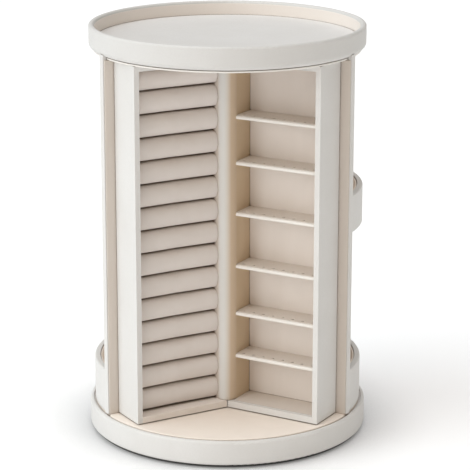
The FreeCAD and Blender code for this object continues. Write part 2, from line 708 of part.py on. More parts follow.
os.makedirs("parts", exist_ok=True)
build_foot()
build_ball_ring()
build_base()
build_walls()
build_ring_box()
build_earring_box()
build_top()
build_rear_sectors()
build_hooks()
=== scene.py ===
"""Looks of a rotating jewelry organizer, a leather-wrapped drum on a turntable.

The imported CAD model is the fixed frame. Leather covers, velvet linings and foam rolls are meshes
made around it, in metres, with +Z up along the turning axis and the front towards -Y.
"""

import logging
import math
from collections.abc import Callable, Iterator, Sequence
from dataclasses import dataclass
from enum import Enum
from functools import cache

import bmesh
import bpy
from mathutils import Matrix, Vector, noise


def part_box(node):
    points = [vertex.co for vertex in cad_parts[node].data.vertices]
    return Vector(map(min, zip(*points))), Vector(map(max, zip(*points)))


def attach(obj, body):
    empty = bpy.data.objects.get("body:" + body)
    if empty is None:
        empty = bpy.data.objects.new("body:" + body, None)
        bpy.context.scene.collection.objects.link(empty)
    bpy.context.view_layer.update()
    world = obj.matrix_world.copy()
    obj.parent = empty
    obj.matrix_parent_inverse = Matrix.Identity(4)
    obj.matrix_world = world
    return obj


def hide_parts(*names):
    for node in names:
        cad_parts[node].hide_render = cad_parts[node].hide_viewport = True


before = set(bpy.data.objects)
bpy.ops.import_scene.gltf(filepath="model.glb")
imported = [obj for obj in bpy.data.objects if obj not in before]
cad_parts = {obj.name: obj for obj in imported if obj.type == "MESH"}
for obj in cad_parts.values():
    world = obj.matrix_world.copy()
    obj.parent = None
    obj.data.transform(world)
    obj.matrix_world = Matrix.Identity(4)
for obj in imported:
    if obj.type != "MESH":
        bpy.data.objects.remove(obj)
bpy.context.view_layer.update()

log = logging.getLogger("organizer")

MM = 0.001
COS_30 = math.cos(math.radians(30.0))
SIN_30 = 0.5
SHARP_ANGLE = math.radians(35.0)
FLAT_ANGLE = math.radians(0.5)
WELD_DISTANCE = 0.001 * MM
ROUND_STEPS = 4
NOISE_CORE = (0.3, 0.7)
NOISE_PAIR_CORE = (0.6, 1.4)
# Reach of the ambient-occlusion mask that paints shade into crevices, joints and gaps
PAINTED_SHADE_REACH = 2.5 * MM
DENT_SHIFT = 0.5
BOX_FACES = ((0, 2, 3, 1), (4, 5, 7, 6), (0, 1, 5, 4), (2, 6, 7, 3), (0, 4, 6, 2), (1, 3, 7, 5))

# Sockets of a colour mix, by number because their names repeat
MIX_SHARE, MIX_FIRST, MIX_SECOND = 0, 6, 7
MIX_RESULT = 2

Point = tuple[float, float, float]
FlatPoint = tuple[float, float]
Colour = tuple[float, float, float]
Range = tuple[float, float]
Socket = bpy.types.NodeSocket
Piece = bpy.types.Object


class Slot(Enum):
    """Material slots of the record."""

    LEATHER = "cream_leather"
    VELVET = "beige_velvet"
    STEEL = "steel"
    PLASTIC = "dark_plastic"
    NYLON = "nylon"
    RUBBER = "rubber"
    BRASS = "brass"


class Body(Enum):
    """Bodies of the frame that carry the pieces made here."""

    CAROUSEL = "carousel"
    LEFT_DRAWER = "left_drawer"
    RIGHT_DRAWER = "right_drawer"
    MIDDLE_DRAWER = "middle_drawer"


class Side(Enum):
    """The walls of the Y, by their turn from +X and the hand on which their front lies."""

    LEFT = (210.0, 1)
    RIGHT = (330.0, -1)
    REAR = (90.0, 1)


class Graph:
    """The shader nodes of one material, with the calls that every finish uses."""

    def __init__(self, name: str) -> None:
        """Start a material with one principled shader.

        Args:
            name: The material's name.
        """
        self.material = bpy.data.materials.new(name)
        self.material.use_nodes = True
        self.tree = self.material.node_tree
        self.shader = self.tree.nodes["Principled BSDF"]
        place = self.tree.nodes.new("ShaderNodeTexCoord")
        self.place, self.normal = place.outputs["Object"], place.outputs["Normal"]

    def feed(self, socket: Socket, value: object) -> None:
        """Link a socket to another one, or set it to a constant.

        Args:
            socket: The input to fill.
            value: An output socket, or a number, colour or vector.
        """
        if isinstance(value, Socket):
            self.tree.links.new(value, socket)
        else:
            socket.default_value = value

    @staticmethod
    def opaque(value: object) -> object:
        """A colour with full alpha, or any other value as it is."""
        return (*value, 1.0) if isinstance(value, tuple) else value

    def node(self, kind: str, inputs: dict[str | int, object], **settings: object) -> bpy.types.Node:
        """Add a node.

        Args:
            kind: The node type without its ShaderNode prefix.
            inputs: Values or sockets by the input's name or number.
            **settings: Properties of the node itself.

        Returns:
            The new node.
        """
        made = self.tree.nodes.new("ShaderNode" + kind)
        for name, value in settings.items():
            setattr(made, name, value)
        for name, value in inputs.items():
            self.feed(made.inputs[name], value)
        return made

    def stretched(self, scale: Point) -> Socket:
        """The piece's coordinates with each axis scaled."""
        return self.node("Mapping", {"Vector": self.place, "Scale": scale}).outputs[0]

    def noise(self, size: float, detail: float, rough: float = 0.5, twist: float = 0.0,
              place: Socket | None = None) -> Socket:
        """Cloudy noise from 0 to 1, by the size of a patch in metres, the octaves and their weight."""
        inputs = {"Vector": place or self.place, "Scale": 1.0 / size, "Detail": detail,
                  "Roughness": rough, "Distortion": twist}
        return self.node("TexNoise", inputs).outputs[0]

    def cells(self, size: float, place: Socket) -> Socket:
        """Distance from the middle of the nearest of many rounded cells of a size in metres."""
        inputs = {"Vector": place, "Scale": 1.0 / size, "Smoothness": 0.35}
        return self.node("TexVoronoi", inputs, feature="SMOOTH_F1").outputs["Distance"]

    def plus(self, first: object, second: object) -> Socket:
        """The sum of two values."""
        return self.node("Math", {0: first, 1: second}, operation="ADD").outputs[0]

    def minus(self, first: object, second: object) -> Socket:
        """One value less another."""
        return self.node("Math", {0: first, 1: second}, operation="SUBTRACT").outputs[0]

    def times(self, first: object, second: object) -> Socket:
        """The product of two values."""
        return self.node("Math", {0: first, 1: second}, operation="MULTIPLY").outputs[0]

    def spread(self, value: Socket, source: Range, target: Range) -> Socket:
        """A value carried from one range to another and held inside it."""
        inputs = {"Value": value, "From Min": source[0], "From Max": source[1],
                  "To Min": target[0], "To Max": target[1]}
        return self.node("MapRange", inputs).outputs[0]

    def mix(self, share: object, first: object, second: object) -> Socket:
        """A colour with a share of a second colour mixed into a first one."""
        inputs = {MIX_SHARE: share, MIX_FIRST: self.opaque(first), MIX_SECOND: self.opaque(second)}
        return self.node("Mix", inputs, data_type="RGBA").outputs[MIX_RESULT]

    def edges(self, width: float) -> Socket:
        """A mask that grows from 0 on flat faces to 1 on convex or concave edges.

        Args:
            width: Reach of the mask in metres.

        Returns:
            The mask.
        """
        rounded = self.node("Bevel", {"Radius": width}, samples=4).outputs[0]
        normal = self.node("NewGeometry", {}).outputs["Normal"]
        return self.turned(rounded, normal, cosines=(1.0, 0.75))

    def turned(self, first: object, second: object, cosines: Range) -> Socket:
        """A mask that grows from 0 to 1 as two unit vectors turn apart, between two cosines."""
        product = self.node("VectorMath", {0: first, 1: second}, operation="DOT_PRODUCT")
        return self.spread(product.outputs["Value"], cosines, (0.0, 1.0))

    def painted_shade_mask(self, reach: float, strength: float, shares: Range = (0.52, 0.12)) -> Socket:
        """A mask for painted shade, from 0 to a strength, as the share of open sky within a reach falls
        between two shares.
        """
        open_share = self.node("AmbientOcclusion", {"Distance": reach}, samples=6).outputs["AO"]
        return self.spread(open_share, shares, (0.0, strength))

    def relief(self, height: Socket, depth: float, strength: float, under: Socket | None = None) -> Socket:
        """A bumped normal.

        Args:
            height: Height of the relief from 0 to 1.
            depth: Depth of the relief in metres.
            strength: How strongly it turns the normal.
            under: A normal that this one is laid over.

        Returns:
            The normal.
        """
        inputs = {"Height": height, "Distance": depth, "Strength": strength}
        if under is not None:
            inputs["Normal"] = under
        return self.node("Bump", inputs).outputs[0]

    def finish(self, values: dict[str, object]) -> bpy.types.Material:
        """Fill the shader and give back the material.

        Args:
            values: Values or sockets by the shader's input names.

        Returns:
            The material.
        """
        for name, value in values.items():
            self.feed(self.shader.inputs[name], self.opaque(value))
        return self.material


@dataclass(frozen=True)
class Finish:
    """What every finish has: a name, its slot in the record and its two main tones."""

    name: str
    slot: Slot | None
    tone: Colour
    shade: Colour

    def make(self) -> bpy.types.Material:
        """Build the material of this finish."""
        raise NotImplementedError

    def clouded(self, graph: Graph, clouds: Socket, most: float = 0.8, core: Range = NOISE_CORE) -> Socket:
        """The tone of the finish with patches of its shade, as a noise rises through its core."""
        return graph.mix(graph.spread(clouds, core, (0.0, most)), self.tone, self.shade)


@dataclass(frozen=True)
class Leather(Finish):
    """Fine-grained leatherette: pebbled cells, pores, slow changes of tone and painted shade in its crevices.
    """

    worn: Colour = (0.78, 0.77, 0.75)
    # Dark brown painted into crevices and joints as shade
    painted_crease_shade: Colour = (0.29, 0.21, 0.15)
    grain: float = 1.0 * MM
    depth: float = 0.05 * MM
    roughness: Range = (0.42, 0.6)
    pore: float = 0.3 * MM
    cloud: float = 45.0 * MM
    fold: float = 6.0 * MM
    fold_depth: float = 0.08 * MM
    edge: float = 1.2 * MM
    wander: float = 0.5
    wander_length: float = 2.5
    pore_share: float = 0.35
    wear: float = 0.6
    polish: float = 0.08

    def make(self) -> bpy.types.Material:
        """Build the grain, the tone and the polish of the leather, with shade painted dark brown into its
        crevices and joints.

        Returns:
            The material.
        """
        graph = Graph(self.name)
        cells = graph.cells(self.grain, self.wandered(graph))
        pores = graph.noise(self.pore, detail=3.0, rough=0.6)
        folds = graph.noise(self.fold, detail=4.0, rough=0.6, twist=0.4)
        clouds = graph.noise(self.cloud, detail=5.0, rough=0.55)
        colour = self.clouded(graph, clouds, most=0.75, core=(0.32, 0.68))
        hollow = graph.spread(cells, source=(0.35, 0.8), target=(0.0, 0.35))
        colour = graph.mix(hollow, colour, self.shade)
        edge = graph.edges(self.edge)
        colour = graph.mix(graph.times(edge, self.wear), colour, self.worn)
        # Painted shade: dark brown where little open sky is close by, in crevices, joints and gaps
        colour = graph.mix(graph.painted_shade_mask(PAINTED_SHADE_REACH, strength=0.8), colour, self.painted_crease_shade)
        dull = graph.spread(graph.plus(folds, cells), source=(0.5, 1.2), target=self.roughness)
        dull = graph.minus(dull, graph.times(edge, self.polish))
        height = graph.minus(graph.times(pores, self.pore_share), cells)
        fine = graph.relief(height, self.depth, strength=0.35)
        normal = graph.relief(folds, self.fold_depth, strength=0.12, under=fine)
        return graph.finish({"Base Color": colour, "Roughness": dull, "Normal": normal,
                             "Specular IOR Level": 0.4})

    def wandered(self, graph: Graph) -> Socket:
        """Coordinates that wander a little, so that the cells of the grain aren't regular.

        Args:
            graph: The material's graph.

        Returns:
            The coordinates.
        """
        inputs = {"Vector": graph.place, "Scale": 1.0 / (self.wander_length * self.grain)}
        pull = {0: graph.node("TexNoise", inputs).outputs[1], "Scale": self.wander * self.grain}
        shift = graph.node("VectorMath", pull, operation="SCALE").outputs[0]
        return graph.node("VectorMath", {0: graph.place, 1: shift}, operation="ADD").outputs[0]


@dataclass(frozen=True)
class Velvet(Finish):
    """Short-pile velvet: brushed patches, single fibres, a soft sheen, painted shade in crevices and, where
    given, painted shade on sides turned from the light.
    """

    # Dark brown painted into crevices and gaps as shade
    painted_crease_shade: Colour = (0.2, 0.125, 0.07)
    # Colour painted on as shade where the surface turns away from the light, and the direction of that light
    painted_flank_shade: Colour | None = None
    painted_light_direction: Point = (-0.545, -0.839, 0.0)
    painted_shade_cosines: Range = (0.985, 0.6)
    patch: float = 22.0 * MM
    tuft: float = 3.0 * MM
    tuft_depth: float = 0.25 * MM
    fibre: float = 0.35 * MM
    fibre_depth: float = 0.12 * MM
    roughness: Range = (0.86, 0.98)
    sheen: float = 0.25
    streak: Point = (1.0, 1.0, 0.25)

    def make(self) -> bpy.types.Material:
        """Build the nap, the fibres and the sheen of the velvet, with painted shade in its crevices and on
        sides turned from the light.

        Returns:
            The material.
        """
        graph = Graph(self.name)
        nap = graph.noise(self.patch, detail=4.0, rough=0.55, twist=0.5, place=graph.stretched(self.streak))
        fibres = graph.noise(self.fibre, detail=2.0, rough=0.7)
        tufts = graph.noise(self.tuft, detail=3.0, rough=0.6, twist=0.3)
        colour = self.clouded(graph, nap, most=0.7)
        speck = graph.spread(fibres, source=(0.45, 0.75), target=(0.0, 0.3))
        colour = graph.mix(speck, colour, self.shade)
        # Painted shade: the colour darkens as the normal turns away from the light's direction
        if self.painted_flank_shade is not None:
            colour = graph.mix(graph.turned(graph.normal, self.painted_light_direction, self.painted_shade_cosines), colour, self.painted_flank_shade)
        # Painted shade: dark brown where little open sky is close by, such as the gaps between rolls
        colour = graph.mix(graph.painted_shade_mask(PAINTED_SHADE_REACH, strength=0.9), colour, self.painted_crease_shade)
        dull = graph.spread(nap, NOISE_CORE, self.roughness)
        pile = graph.relief(fibres, self.fibre_depth, strength=0.5)
        normal = graph.relief(graph.plus(tufts, nap), self.tuft_depth, strength=0.18, under=pile)
        return graph.finish({"Base Color": colour, "Roughness": dull, "Normal": normal,
                             "Sheen Weight": self.sheen, "Sheen Roughness": 0.45,
                             "Sheen Tint": self.tone, "Specular IOR Level": 0.2})


@dataclass(frozen=True)
class Metal(Finish):
    """Metal with turning marks and small changes of polish."""

    roughness: Range = (0.22, 0.4)
    marks: Point = (0.15, 0.15, 1.0)
    mark: float = 0.5 * MM
    mark_depth: float = 0.02 * MM
    cloud: float = 8.0 * MM

    def make(self) -> bpy.types.Material:
        """Build the colour, the marks and the polish of the metal.

        Returns:
            The material.
        """
        graph = Graph(self.name)
        scratches = graph.noise(self.mark, detail=4.0, rough=0.6, place=graph.stretched(self.marks))
        clouds = graph.noise(self.cloud, detail=3.0)
        colour = self.clouded(graph, clouds)
        dull = graph.spread(graph.plus(scratches, clouds), NOISE_PAIR_CORE, self.roughness)
        normal = graph.relief(scratches, self.mark_depth, strength=0.2)
        return graph.finish({"Base Color": colour, "Roughness": dull, "Normal": normal, "Metallic": 1.0})


@dataclass(frozen=True)
class Moulded(Finish):
    """Moulded plastic or rubber with a spark-eroded texture."""

    roughness: Range = (0.45, 0.65)
    texture: float = 0.6 * MM
    depth: float = 0.05 * MM
    cloud: float = 15.0 * MM

    def make(self) -> bpy.types.Material:
        """Build the texture and the tone of the moulding.

        Returns:
            The material.
        """
        graph = Graph(self.name)
        spark = graph.noise(self.texture, detail=3.0, rough=0.6)
        clouds = graph.noise(self.cloud, detail=3.0)
        colour = self.clouded(graph, clouds)
        dull = graph.spread(graph.plus(spark, clouds), NOISE_PAIR_CORE, self.roughness)
        normal = graph.relief(spark, self.depth, strength=0.3)
        return graph.finish({"Base Color": colour, "Roughness": dull, "Normal": normal})


@dataclass(frozen=True)
class TableTop(Finish):
    """A pale lit table with a painted shadow close under what stands on it."""

    painted_contact_shadow: Colour = (0.35, 0.35, 0.35)
    painted_shadow_strength: float = 0.75
    painted_shadow_shares: Range = (0.95, 0.5)
    reach: float = 60.0 * MM
    cloud: float = 300.0 * MM
    roughness: float = 0.7
    glow: float = 0.15

    def make(self) -> bpy.types.Material:
        """Build the tone of the table and its painted soft shadow close under the organizer.

        Returns:
            The material.
        """
        graph = Graph(self.name)
        colour = self.clouded(graph, graph.noise(self.cloud, detail=3.0))
        # Painted shadow: the table darkens where little open sky is close by
        painted_shadow = graph.painted_shade_mask(self.reach, self.painted_shadow_strength, self.painted_shadow_shares)
        colour = graph.mix(painted_shadow, colour, self.painted_contact_shadow)
        return graph.finish({"Base Color": colour, "Roughness": self.roughness,
                             "Emission Color": self.tone, "Emission Strength": self.glow})


@cache
def material_of(finish: Finish) -> bpy.types.Material:
    """The one material of a finish."""
    return finish.make()


CREAM_LEATHER = Leather("cream_leather_wrap", Slot.LEATHER, (0.735, 0.72, 0.70), (0.69, 0.67, 0.645))
BEIGE_VELVET = Velvet("beige_velvet_lining", Slot.VELVET, (0.70, 0.635, 0.575), (0.65, 0.58, 0.515))
FLOOR_VELVET = Velvet("pale_velvet_floors", Slot.VELVET, (0.90, 0.815, 0.735), (0.855, 0.77, 0.685))
ROLL_VELVET = Velvet("beige_velvet_rolls", Slot.VELVET, (0.77, 0.71, 0.67), (0.715, 0.65, 0.605),
                     streak=(1.0, 1.0, 1.0))
BACK_VELVET = Velvet("pale_velvet_backs", Slot.VELVET, (0.83, 0.765, 0.71), (0.78, 0.71, 0.65))
# A darker, browner copy of the beige velvet, painting shade on the earring box's inner side, which faces away
# from the light
SHADE_PAINTED_VELVET = Velvet("shade_painted_velvet_inner_sides", Slot.VELVET, (0.63, 0.485, 0.335), (0.58, 0.44, 0.295))
# Its sides are painted darker as shade where they turn away from the light
POST_VELVET = Velvet("pale_velvet_post", Slot.VELVET, (0.755, 0.745, 0.72), (0.70, 0.685, 0.655),
                     painted_flank_shade=(0.60, 0.465, 0.335))
# A darker copy of the cream leather for the tray rim: painted shade
SHADED_TRAY_LEATHER = Leather("shade_painted_leather_tray", Slot.LEATHER, (0.69, 0.677, 0.658), (0.65, 0.632, 0.608))
SHELF_LEATHER = Leather("pale_leather_shelves", Slot.LEATHER, (0.88, 0.845, 0.80), (0.84, 0.80, 0.75),
                        (0.9, 0.87, 0.83))
# A warmer, paler copy of the leather for the inside of the tray rim: painted light bounced off the tray floor
BOUNCE_PAINTED_LEATHER = Leather("bounce_painted_leather_tray_lining", Slot.LEATHER, (0.87, 0.80, 0.745), (0.83, 0.765, 0.705),
                         (0.86, 0.82, 0.78))
ZINC_STEEL = Metal("zinc_steel", Slot.STEEL, (0.62, 0.62, 0.63), (0.52, 0.52, 0.54))
GOLD_BRASS = Metal("gold_brass", Slot.BRASS, (0.83, 0.62, 0.29), (0.72, 0.51, 0.22), (0.1, 0.22))
DARK_PLASTIC = Moulded("dark_foot_plastic", Slot.PLASTIC, (0.035, 0.034, 0.033), (0.05, 0.048, 0.046))
WHITE_NYLON = Moulded("white_nylon", Slot.NYLON, (0.74, 0.72, 0.67), (0.68, 0.66, 0.60), (0.35, 0.5))
BLACK_RUBBER = Moulded("black_rubber", Slot.RUBBER, (0.022, 0.022, 0.022), (0.032, 0.031, 0.03), (0.7, 0.9))
PALE_TABLE = TableTop("pale_table", None, (0.96, 0.96, 0.96), (0.945, 0.945, 0.945))


@dataclass(frozen=True)
class Span:
    """The room that a node takes in a wall's coordinates."""

    along: Range
    off: Range
    up: Range


@dataclass(frozen=True)
class Wall:
    """Coordinates of a wall: along it from the axis, off it towards the front, and up."""

    side: Side

    def matrix(self) -> Matrix:
        """Work out how this wall lies in the frame.

        Returns:
            The matrix from the wall's coordinates to the frame's.
        """
        turn, hand = self.side.value
        cosine, sine = math.cos(math.radians(turn)), math.sin(math.radians(turn))
        columns = ((cosine, sine, 0.0), (-hand * sine, hand * cosine, 0.0), (0.0, 0.0, 1.0))
        return Matrix(columns).transposed().to_4x4()

    def span(self, node: str) -> Span:
        """The room that a CAD node takes in this wall's coordinates.

        Args:
            node: The node's name.

        Returns:
            Its span along, off and up the wall.
        """
        back = self.matrix().inverted()
        points = [back @ vertex.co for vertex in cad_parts[node].data.vertices]
        low = [min(point[axis] for point in points) for axis in range(3)]
        high = [max(point[axis] for point in points) for axis in range(3)]
        return Span(*zip(low, high))


class Skin:
    """A mesh in the making, in any coordinates that a matrix carries to the frame."""

    def __init__(self) -> None:
        """Start with an empty mesh."""
        self.mesh = bmesh.new()

    @classmethod
    def of_node(cls, node: str) -> "Skin":
        """A copy of a CAD node with its seams welded, its flat faces whole and no face left inside.

        Args:
            node: The node's name.

        Returns:
            The copy.
        """
        skin = cls()
        skin.mesh.from_mesh(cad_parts[node].data)
        bmesh.ops.remove_doubles(skin.mesh, verts=skin.mesh.verts, dist=WELD_DISTANCE)
        bmesh.ops.dissolve_limit(skin.mesh, angle_limit=FLAT_ANGLE,
                                 verts=skin.mesh.verts, edges=skin.mesh.edges)
        inner = [face for face in skin.mesh.faces if all(len(edge.link_faces) > 2 for edge in face.edges)]
        bmesh.ops.delete(skin.mesh, geom=inner, context="FACES_ONLY")
        return skin

    def slab(self, along: Range, off: Range, up: Range) -> "Skin":
        """Add a box between two corners.

        Args:
            along: First and last value on the first axis.
            off: First and last value on the second axis.
            up: First and last value on the third axis.

        Returns:
            This skin.
        """
        corners = [self.mesh.verts.new((x, y, z)) for z in up for y in off for x in along]
        for face in BOX_FACES:
            self.mesh.faces.new([corners[index] for index in face])
        return self

    def loft(self, rings: Sequence[Sequence[Point]], capped: bool = True) -> "Skin":
        """Join rings of points, each as long as the next, into one skin.

        Args:
            rings: The rings in order.
            capped: Whether the first and last ring are filled.

        Returns:
            This skin.
        """
        rows = [[self.mesh.verts.new(point) for point in ring] for ring in rings]
        count = len(rows[0])
        for low, high in zip(rows, rows[1:]):
            for index in range(count):
                after = (index + 1) % count
                self.mesh.faces.new((low[index], low[after], high[after], high[index]))
        if capped:
            self.mesh.faces.new(rows[0][::-1])
            self.mesh.faces.new(rows[-1])
        return self

    def sharp_edges(self) -> list[bmesh.types.BMEdge]:
        """The edges where the surface turns sharply."""
        bmesh.ops.recalc_face_normals(self.mesh, faces=self.mesh.faces)
        return [edge for edge in self.mesh.edges
                if len(edge.link_faces) == 2 and edge.calc_face_angle() > SHARP_ANGLE]

    def soften(self, radius: float, segments: int = 3) -> "Skin":
        """Round every sharp edge by a radius, in a number of steps."""
        bmesh.ops.bevel(self.mesh, geom=self.sharp_edges(), offset=radius, segments=segments, profile=0.5,
                        affect="EDGES", clamp_overlap=True)
        return self

    def soften_each(self, radius_of: Callable[[Vector, Vector], float]) -> "Skin":
        """Round every sharp edge by its own radius.

        Args:
            radius_of: Gives the rounding of an edge from its two ends.

        Returns:
            This skin.
        """
        radii = {edge: radius_of(edge.verts[0].co, edge.verts[1].co) for edge in self.sharp_edges()}
        largest = max(radii.values())
        weights = self.mesh.edges.layers.float.new("bevel_weight_edge")
        for edge in self.mesh.edges:
            edge[weights] = radii.get(edge, 0.0) / largest
        data = bpy.data.meshes.new("rounding")
        self.mesh.to_mesh(data)
        piece = bpy.data.objects.new("rounding", data)
        bpy.context.scene.collection.objects.link(piece)
        bevel = piece.modifiers.new("round", "BEVEL")
        bevel.limit_method = "WEIGHT"
        bevel.width = largest
        bevel.segments = ROUND_STEPS
        applied(piece)
        self.mesh.clear()
        self.mesh.from_mesh(piece.data)
        bpy.data.objects.remove(piece)
        return self

    def piece(self, name: str, matrix: Matrix | None = None) -> Piece:
        """Turn the mesh into an object with smooth faces.

        Args:
            name: The piece's name.
            matrix: From the mesh's coordinates to the frame.

        Returns:
            The piece.
        """
        if matrix is not None:
            self.mesh.transform(matrix)
        bmesh.ops.recalc_face_normals(self.mesh, faces=self.mesh.faces)
        data = bpy.data.meshes.new(name)
        self.mesh.to_mesh(data)
        self.mesh.free()
        return placed(name, data)


def placed(name: str, data: bpy.types.Mesh) -> Piece:
    """Put a mesh in the scene with smooth faces and true flats.

    Args:
        name: The piece's name.
        data: Its mesh.

    Returns:
        The piece.
    """
    data.name = name
    data.shade_smooth()
    data.set_sharp_from_angle(angle=SHARP_ANGLE)
    piece = bpy.data.objects.new(name, data)
    bpy.context.scene.collection.objects.link(piece)
    flats = piece.modifiers.new("flats", "WEIGHTED_NORMAL")
    flats.keep_sharp = True
    return piece


def applied(piece: Piece) -> None:
    """Make the modifiers of a piece part of its mesh.

    Args:
        piece: The piece.
    """
    graph = bpy.context.evaluated_depsgraph_get()
    data = bpy.data.meshes.new_from_object(piece.evaluated_get(graph))
    piece.modifiers.clear()
    piece.data = data


@dataclass(frozen=True)
class Stuffing:
    """How a foam piece swells under its cover."""

    voxel: float = 0.8 * MM
    pressure: float = 4.0
    reach: float = 0.8 * MM
    frames: int = 20

    def swell(self, piece: Piece, held: Callable[[Vector], bool]) -> None:
        """Inflate a closed piece with cloth, then keep the result as its mesh.

        Args:
            piece: The piece, drawn a little smaller than it ends up.
            held: Tells which points stay where they are.
        """
        piece.modifiers.clear()
        remesh = piece.modifiers.new("even", "REMESH")
        remesh.mode = "VOXEL"
        remesh.voxel_size = self.voxel
        applied(piece)
        start = [vertex.co.copy() for vertex in piece.data.vertices]
        group = piece.vertex_groups.new(name="held")
        group.add([index for index, point in enumerate(start) if held(point)], 1.0, "REPLACE")
        cloth = piece.modifiers.new("swell", "CLOTH")
        cloth.settings.vertex_group_mass = group.name
        cloth.settings.use_pressure = True
        cloth.settings.uniform_pressure_force = self.pressure
        cloth.settings.effector_weights.gravity = 0.0
        cloth.collision_settings.use_collision = False
        for step in range(1, self.frames + 1):
            bpy.context.scene.frame_set(step)
        applied(piece)
        bpy.context.scene.frame_set(1)
        for vertex, origin in zip(piece.data.vertices, start):
            move = vertex.co - origin
            if move.length > self.reach:
                vertex.co = origin + move * (self.reach / move.length)


class Assembly:
    """A sub-assembly, which builds its own pieces and dresses the CAD nodes that stay."""

    body: Body = Body.CAROUSEL

    def build(self) -> None:
        """Make the pieces of this sub-assembly."""
        raise NotImplementedError

    def add(self, piece: Piece, finish: Finish, *nodes: str) -> Piece:
        """Give a piece its finish and its body.

        Args:
            piece: The piece.
            finish: Its finish.
            *nodes: The CAD nodes that it stands for.

        Returns:
            The piece.
        """
        piece.data.materials.clear()
        piece.data.materials.append(material_of(finish))
        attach(piece, self.body.value)
        if nodes:
            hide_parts(*nodes)
        log.info("%s: %s on %s", piece.name, finish.name, self.body.value)
        return piece

    def dress(self, finish: Finish, *nodes: str) -> None:
        """Give CAD nodes that stay a finish.

        Args:
            finish: The finish.
            *nodes: Their names.
        """
        for node in nodes:
            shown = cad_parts[node]
            for place in shown.material_slots:
                place.material = material_of(finish)
            log.info("%s: %s", node, finish.name)

    def wrap(self, node: str, name: str, radius: float, finish: Finish) -> Piece:
        """Replace a CAD node by the same form with soft edges.

        Args:
            node: The node.
            name: The new piece's name.
            radius: Roundness of its edges.
            finish: Its finish.

        Returns:
            The piece.
        """
        return self.add(Skin.of_node(node).soften(radius).piece(name), finish, node)


def lathe(profile: Sequence[FlatPoint], segments: int) -> list[list[Point]]:
    """Rings of a body turned about the vertical axis, by the radius and height of each ring."""
    turns = [math.tau * index / segments for index in range(segments)]
    return [[(radius * math.cos(turn), radius * math.sin(turn), height) for turn in turns]
            for radius, height in profile]


@dataclass
class Turntable(Assembly):
    """The still foot, the bearing, the pivot and the screws, which keep their CAD shapes."""

    def build(self) -> None:
        """Dress the foot, the bearing, the pivot and the screws."""
        self.dress(DARK_PLASTIC, "foot_plate", "foot_hub", "ball_cage")
        self.dress(BLACK_RUBBER, "foot_pads")
        self.dress(WHITE_NYLON, "pivot_bush")
        self.dress(ZINC_STEEL, "bearing_lower_race", "bearing_upper_race", "bearing_balls", "pivot_pin",
                   "pivot_clip", "lower_race_screws", "upper_race_screws", "panel_screws")


@dataclass
class Base(Assembly):
    """The turning base: a leather band and a velvet floor let into it."""

    edge_round: float = 0.5 * MM
    carpet_round: float = 0.9 * MM
    carpet_gap: float = 0.7 * MM
    carpet_cut: float = 1.0 * MM
    carpet_steps: int = 5
    segments: int = 256
    seam_turn: float = math.radians(212.0)
    seam_width: float = 0.9 * MM
    seam_height: float = 0.12 * MM
    seam_inset: float = 2.4 * MM
    seam_steps: int = 8

    def build(self) -> None:
        """Wrap the base, lay the carpet and close the band with its seam."""
        self.wrap("base_disc", "base_leather", self.edge_round, CREAM_LEATHER)
        self.add(self.carpet(), FLOOR_VELVET, "floor_lining")
        self.add(self.seam(), CREAM_LEATHER)

    def carpet(self) -> Piece:
        """The velvet floor with its edge turned down into the groove, cut back a little under the trays.

        Returns:
            The piece.
        """
        low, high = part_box("floor_lining")
        radius = high.x - self.carpet_gap
        steps = [math.pi / 2 * index / self.carpet_steps for index in range(self.carpet_steps + 1)]
        edge = [(radius - self.carpet_round * (1 - math.cos(step)),
                 high.z - self.carpet_round * (1 - math.sin(step))) for step in steps]
        skin = Skin().loft(lathe([(radius, low.z)] + edge, self.segments))
        for vertex in skin.mesh.verts:
            reach = math.hypot(vertex.co.x, vertex.co.y)
            if vertex.co.y > -reach * SIN_30:
                vertex.co.xy *= 1.0 - self.carpet_cut / reach
        return skin.piece("floor_velvet")

    def seam(self) -> Piece:
        """The butt seam of the leather band, a low ridge up its side.

        Returns:
            The piece.
        """
        low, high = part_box("base_disc")
        radius = high.x
        turns = [math.pi * index / self.seam_steps for index in range(self.seam_steps + 1)]
        across = [(self.seam_turn - self.seam_width / 2 * math.cos(turn) / radius,
                   radius + self.seam_height * math.sin(turn)) for turn in turns]
        rings = [[(reach * math.cos(turn), reach * math.sin(turn), height) for turn, reach in across]
                 for height in (low.z + self.seam_inset, high.z - self.seam_inset)]
        return Skin().loft(rings).piece("base_leather_seam")


@dataclass
class Partition(Assembly):
    """The three boards of the Y and the velvet glued on them."""

    lining_round: float = 0.3 * MM
    end_round: float = 1.5 * MM
    edge_round: float = 0.3 * MM
    tip_gap: float = 0.2 * MM
    tip_rise: float = 1.9 * MM

    def build(self) -> None:
        """Wrap the boards and line the sectors."""
        for side in Side:
            node = side.name.lower() + "_wall"
            self.add(self.board(Wall(side), node), CREAM_LEATHER, node)
        self.wrap("front_wall_linings", "front_wall_velvet", self.lining_round, BEIGE_VELVET)
        self.wrap("rear_wall_linings", "rear_wall_velvet", self.lining_round, BEIGE_VELVET)

    def board(self, wall: Wall, node: str) -> Piece:
        """One wall in its leather, with a tip that rises beside the top board to the tray.

        Args:
            wall: The wall's coordinates.
            node: The CAD node that it stands for.

        Returns:
            The piece.
        """
        room = wall.span(node)
        start, reach = max(0.0, room.along[0]), room.along[1]
        low, high = room.up
        tray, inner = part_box("tray_rim")[0].z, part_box("top_board")[1].x + self.tip_gap
        contour = [(start, low), (reach, low), (reach, tray + self.tip_rise), (inner, tray - self.tip_gap),
                   (inner, high), (start, high)]
        skin = Skin().loft([[(along, off, up) for along, up in contour] for off in room.off])
        skin.soften_each(lambda first, last: self.end_round if min(first.x, last.x) > reach - self.tip_gap
                         and abs(first.z - last.z) > self.end_round else self.edge_round)
        return skin.piece(node + "_leather", wall.matrix())


